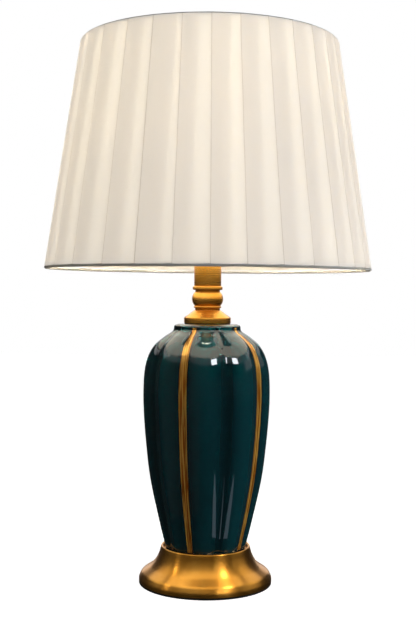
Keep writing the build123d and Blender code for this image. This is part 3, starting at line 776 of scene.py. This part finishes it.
def makeShade():
    folds = foldAngles()
    count = shade["count"]
    low = shade["bottom"] + 2 * hem["inset"] - shade["intoHem"][0]
    high = shade["top"] - 2 * hem["inset"] + shade["intoHem"][1]
    jitter, spread = random.Random(shade["seed"] + 1), shade["tuckSpread"]
    tucks = [shade["wideTucks"].get(i, shade["tuck"] + jitter.uniform(-spread, spread)) for i in range(count)]
    nextTucks = tucks[1:] + tucks[:1]
    nextLips = folds[1:] + [folds[0] + 360]
    steps = [math.radians(nextLip - lip) * shade["bottomRadius"] + 2 * tuck
             for lip, nextLip, tuck in zip(folds, nextLips, nextTucks)]
    flat = flatPleat(low, high)
    cloth = gridObject("pleatedCloth", [[(0, 0, 0)] * count], False, False)
    for label, values in (("lip", folds), ("nextLip", nextLips), ("ownTuck", [t * mm for t in tucks]),
                          ("nextTuck", [t * mm for t in nextTucks]),
                          ("run", [sum(steps[:i]) * mm for i in range(count)]),
                          ("ownNumber", range(count)),
                          ("nextNumber", [(i + 1) % count for i in range(count)])):
        setNumbers(cloth, label, values)
    modifier = cloth.modifiers.new("pleats", "NODES")
    modifier.node_group = pleatTree()
    taper = (shade["topRadius"] - shade["bottomRadius"]) / (shade["top"] - shade["bottom"])
    setInputs(modifier, {"Pleat": flat, "Bottom": shade["bottom"] * mm,
                         "Bottom Radius": (shade["bottomRadius"] - shade["inset"]) * mm, "Taper": taper,
                         "Ply Gap": shade["plyGap"] * mm, "Wander": shade["wander"],
                         "Lift": shade["lift"] * mm, "Material": creamCloth})
    settle(cloth, creamCloth)
    discard(flat)
    place(cloth, "shade", "shade_fabric", "pleated_fabric")
    bottomHem = (shade["bottomRadius"], shade["bottom"] + hem["inset"], hem["radius"][0])
    topHem = (shade["topRadius"], shade["top"] - hem["inset"], hem["radius"][1])
    hems = [makeHem("bottomHem", *bottomHem, folds, "bottom_hem"),
            makeHem("topHem", *topHem, folds, "top_hem")]
    width = (2 * math.pi * shadeRadius(low) + 2 * sum(tucks)) * mm
    low, high = span("shade_liner")[0], shade["top"] - shade["linerDrop"]
    outer, inner = shade["liner"]
    corners = ((low, inner), (low, outer), (high, outer), (high, inner))
    film = turnedPiece("linerFilm", [(shadeRadius(z) - d, z) for z, d in corners], frostedFilm, columns=192)
    place(film, "shade", "liner_film", "shade_liner")


hem = {"inset": 2.1, "radius": (1.64, 1.62), "columns": 324, "sides": 14, "full": 0.1, "fullReach": 2.2,
       "uneven": 0.05, "unevenStep": 3, "tapeStep": 0.9}


def makeHem(name, edge, height, radius, folds, node):
    # Tape rolled over the wire, a little fuller where it covers a fold
    columns, sides, step = hem["columns"], hem["sides"], hem["unevenStep"]
    rings, uvs = [], []
    for s in range(sides):
        turn = 2 * math.pi * s / sides
        ring, ringUv = [], []
        for c in range(columns):
            angle = 360 * c / columns
            gap = min(abs((angle - f + 180) % 360 - 180) for f in folds)
            thick = (radius + hem["full"] * max(0.0, 1 - gap / hem["fullReach"])
                     + hem["uneven"] * noise.noise((angle / step, s / step, height)))
            reach = edge - hem["inset"] + thick * math.cos(turn)
            ring.append(around(reach, angle, height + thick * math.sin(turn)))
            ringUv.append((math.radians(angle) * edge * mm, s * hem["tapeStep"] * mm))
        rings.append(ring)
        uvs.append(ringUv)
    roll = gridObject(name, rings, True, True, uvs)
    settle(roll, hemTape)
    place(roll, "shade", "shade_trim", node)
    return roll


makeShade()


# carried-over pieces keep their shape and get their finish

finishes = {
    "mouldedRubber": ["seat_gasket", "cap_washer"],
    "mouldedPhenolic": ["cord_bush", "switch_block", "push_bar", "bulb_insulator"],
    "mouldedPolycarbonate": ["bulb_body"],
    "castIron": ["base_ballast"],
    "zincPlatedSteel": ["rod_washer", "rod_nut", "threaded_rod", "terminal_screws", "bulb_tip", "bulb_cap"],
    "steatitePorcelain": ["holder_core"],
    "coatedAluminium": ["led_board"],
    "whitePowderCoat": ["fitter_ring", "fitter_spokes", "bottom_wire", "top_wire"],
}
brassNodes = ("holder_cap", "holder_skirt", "screw_shell", "centre_contact", "shade_ring")
dimNeck = 0.2  # the board inside lights the globe less over this share of its height, at the neck


def dress(node, material):
    mesh = nodes[node].data
    mesh.materials.clear()
    mesh.materials.append(material)


for finish, names in finishes.items():
    for name in names:
        dress(name, stockMaterials[finish])
for name in brassNodes:
    dress(name, turnedBrass)
dress("bulb_globe", opalGlobe)
globe, globeSpan = nodes["bulb_globe"].data, span("bulb_globe")
globe.materials.append(opalNeck)
for face in globe.polygons:
    face.material_index = int(face.center.z / mm < globeSpan[0] + dimNeck * (globeSpan[1] - globeSpan[0]))
print("globe faces dimmed", sum(face.material_index for face in globe.polygons), "of", len(globe.polygons))
print("carried-over nodes dressed")


# floor, light and camera

studio = {"floor": "#f2f1ee", "floorHalf": 4000, "world": 0.09, "floorGlow": 0.95, "backLight": 0.28,
          "cardSteps": 72, "lampAim": 0.24, "spotBlend": 0.4}
# seen only in the gloss: rings of (radius, height in mm, from, to degrees), brightness, tint;
# the dark flag also shades the key
cards = {
    "nearFloorCard": ([(69.8, 0.6, -180, 180), (750, 0.6, -180, 180)], 0.02, "#ffffff"),
    "farFloorCard": ([(750, 0.6, -155, 155), (2600, 0.6, -155, 155)], 0.02, "#ffffff"),
    "floorGlint": ([(115, 1, 25, 40), (200, 1, 27, 39), (330, 1, 32, 35)], 0.8, "#dcecff"),
    "wallCard": ([(2600, 1, -155, 155), (2600, 1500, -155, 155)], 0.03, "#ffffff"),
    "shadeCard": ([(168, 342, -180, 180), (136, 565, -180, 180)], 2.1, "#fff4e0"),
    "leftCard": ([(160, 2, -85, -20), (1200, 2, -85, -20), (2590, 2, -85, -20), (2590, 1500, -85, -20)],
                 0.05, "#fff4e4"),
    "skyCard": ([(2600, 1500, -180, 180), (2600, 2900, -180, 180)], 0.35, "#ffffff"),
    "roofCard": ([(2600, 2900, -180, 180), (10, 2900, -180, 180)], 0.14, "#ffffff"),
    "frontRoof": ([(2200, 2880, -150, 150), (900, 2880, -150, 150)], 1.7, "#fffaf2"),
    "backSky": ([(2590, 1400, 95, 265), (2590, 2890, 95, 265)], 1.2, "#ffffff"),
    "rightWall": ([(2590, 700, 70, 115), (2590, 1500, 70, 115)], 0.5, "#ffffff"),
    "keyFlag": ([(450, 270, 12, 54), (450, 425, 12, 54)], 0.0, "#000000"),
}
# azimuth, elevation, distance m, size m, power W, tint, lights matt surfaces, shows in gloss
lamps = {
    "keyBox": (32, 30, 1.7, (0.58, 0.42), 12, "#f4f8ff", False, True),
    "baseBox": (60, 53, 1.8, (0.34, 0.34), 9, "#fff6ea", False, True),
    "leftBox": (-83, 36, 1.9, (0.12, 0.3), 2.5, "#fff6ea", False, True),
    "fillBox": (50, 35, 2.2, (1.4, 1.4), 6, "#f4f8ff", True, False),
}
# light on matt surfaces only:
# azimuth, elevation, distance m, aim height m, cone degrees, power W, radius m, tint
spots = {
    "vaseSpot": (68, 12, 1.8, 0.13, 15, 32, 0.12, "#ffffff"),
    "shadeSpot": (42, 20, 2.5, 0.47, 9.5, 80, 0.3, "#b4cfff"),
}


def aimed(name, data, azimuth, elevation, reach, height):
    lamp = linked(name, data)
    target = Vector((0, 0, height))
    rise = math.radians(elevation)
    lamp.location = target + Vector(around(reach * math.cos(rise), azimuth, reach * math.sin(rise)))
    lamp.rotation_euler = (target - lamp.location).to_track_quat("-Z", "Y").to_euler()
    return lamp


def seenRays(tree):
    # 1 for what the camera, gloss, glass or thin cloth sees, 0 for light on matt surfaces
    path = addNode(tree, "ShaderNodeLightPath").outputs
    work = mathIn(tree)
    seen = work("MAXIMUM", path["Is Camera Ray"], path["Is Glossy Ray"])
    return work("MAXIMUM", seen, path["Is Transmission Ray"])


def makeFloor():
    far = studio["floorHalf"]
    floor = gridObject("floor", [[(x, y, 0) for x in (-far, far)] for y in (-far, far)], False, False)
    material, tree = startMaterial("paleFloor")
    glow = mathIn(tree)("MULTIPLY", seenRays(tree), studio["floorGlow"])
    matt = addNode(tree, "ShaderNodeBsdfDiffuse", {"Color": linear(studio["floor"])}).outputs[0]
    light = addNode(tree, "ShaderNodeEmission", {"Strength": glow}).outputs[0]
    endMaterial(tree, addNode(tree, "ShaderNodeAddShader", {0: matt, 1: light}).outputs[0])
    floor.data.materials.append(material)


def makeWorld():
    # White where it is seen, dim as light on matt surfaces, a little stronger behind thin cloth
    scene.world = bpy.data.worlds.new("studioWorld")
    scene.world.use_nodes = True
    tree = scene.world.node_tree
    tree.nodes.clear()
    seen = remap(tree, seenRays(tree), (0.0, 1.0), (studio["world"], 1.0))
    behind = addNode(tree, "ShaderNodeLightPath").outputs["Is Transmission Ray"]
    strength = mathIn(tree)("MULTIPLY_ADD", behind, studio["backLight"], seen)
    sky = addNode(tree, "ShaderNodeBackground", {"Color": (1, 1, 1, 1), "Strength": strength}).outputs[0]
    addNode(tree, "ShaderNodeOutputWorld", {"Surface": sky})


def makeCards():
    steps = studio["cardSteps"]
    for name, (rings, level, tint) in cards.items():
        rows = [[around(r, low + (high - low) * c / steps, z) for c in range(steps + 1)]
                for r, z, low, high in rings]
        card = gridObject(name, rows, False, False)
        material, tree = startMaterial(name)
        light = addNode(tree, "ShaderNodeEmission", {"Color": linear(tint), "Strength": level}).outputs[0]
        endMaterial(tree, light)
        card.data.materials.append(material)
        card.visible_camera = card.visible_diffuse = card.visible_transmission = False
        card.visible_shadow = level == 0


def makeLamps():
    for name, (azimuth, elevation, reach, size, power, tint, onMatt, inGloss) in lamps.items():
        data = bpy.data.lights.new(name, "AREA")
        data.shape, data.size, data.size_y = "RECTANGLE", size[0], size[1]
        data.energy, data.color = power, linear(tint)[:3]
        lamp = aimed(name, data, azimuth, elevation, reach, studio["lampAim"])
        lamp.visible_diffuse, lamp.visible_glossy = onMatt, inGloss
    for name, (azimuth, elevation, reach, aim, cone, power, soft, tint) in spots.items():
        data = bpy.data.lights.new(name, "SPOT")
        data.energy, data.color = power, linear(tint)[:3]
        data.spot_size, data.spot_blend, data.shadow_soft_size = math.radians(cone), studio["spotBlend"], soft
        aimed(name, data, azimuth, elevation, reach, aim).visible_glossy = False


camera = {"place": (0.0004, -1.125, 0.3116), "roll": -0.5, "lens": 60.17, "sensor": 36.0, "shiftY": -0.0313}


def makeCamera():
    data = bpy.data.cameras.new("photoCamera")
    data.lens, data.sensor_width, data.shift_y = camera["lens"], camera["sensor"], camera["shiftY"]
    eye = linked("photoCamera", data)
    eye.location = camera["place"]
    eye.rotation_euler = (math.radians(90), math.radians(camera["roll"]), 0)
    scene.camera = eye


makeFloor()
makeWorld()
makeCards()
makeLamps()
makeCamera()
scene.view_settings.view_transform = "Standard"
print("studio set")
